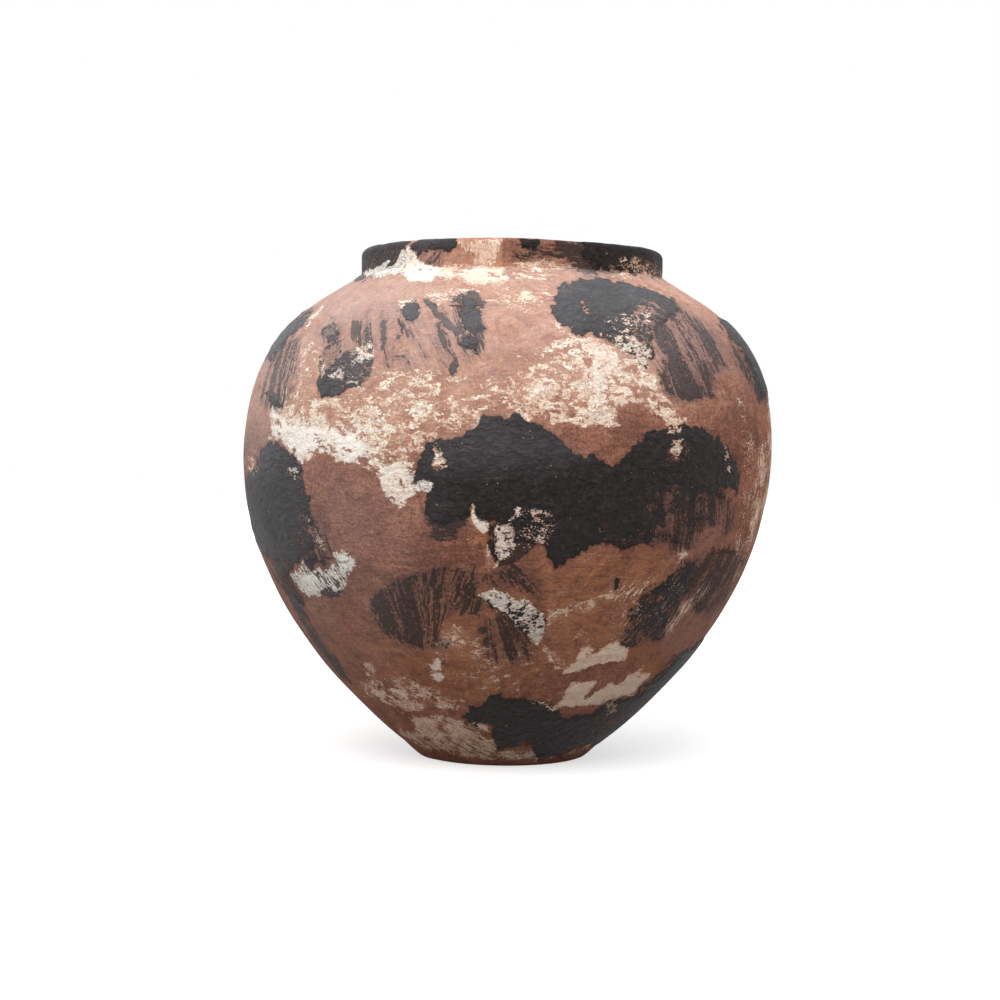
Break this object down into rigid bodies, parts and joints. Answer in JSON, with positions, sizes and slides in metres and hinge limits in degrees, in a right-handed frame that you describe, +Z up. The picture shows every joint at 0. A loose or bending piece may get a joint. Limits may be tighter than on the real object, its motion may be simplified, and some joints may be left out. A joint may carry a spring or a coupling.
{
  "type": "terracotta jar",
  "caption": "Wide-shouldered round jar on a narrow flat foot, with a short upright collar round an open mouth.",
  "frame": {"origin": "on the flat underside, below the middle of the belly", "axes": "+Z up out of the mouth, -Y towards the side shown in the picture, +X to its right"},
  "size_m": [0.301, 0.301, 0.2871],
  "materials": {
    "base_slab": "unglazed brown clay, smeared with cream and black at the foot, bare underneath",
    "lower_wall": "matt rust-brown stain with cream sponge marks and thick black daubs and combed streaks",
    "upper_wall": "matt salmon and rust stain with chalky cream sponge marks and thick black daubs",
    "neck_collar": "matt rust-brown stain, largely covered in black, with cream showing through where worn",
    "base_seam_coil": "bare fired clay, finger smeared",
    "belly_seam_coil": "bare fired clay, finger smeared",
    "neck_seam_coil": "bare fired clay, finger smeared"
  },
  "bodies": {
    "root": {"base_slab": "base_slab", "lower_wall": "lower_wall", "upper_wall": "upper_wall", "neck_collar": "neck_collar", "base_seam_coil": "base_seam_coil", "belly_seam_coil": "belly_seam_coil", "neck_seam_coil": "neck_seam_coil"}
  },
  "joints": []
}
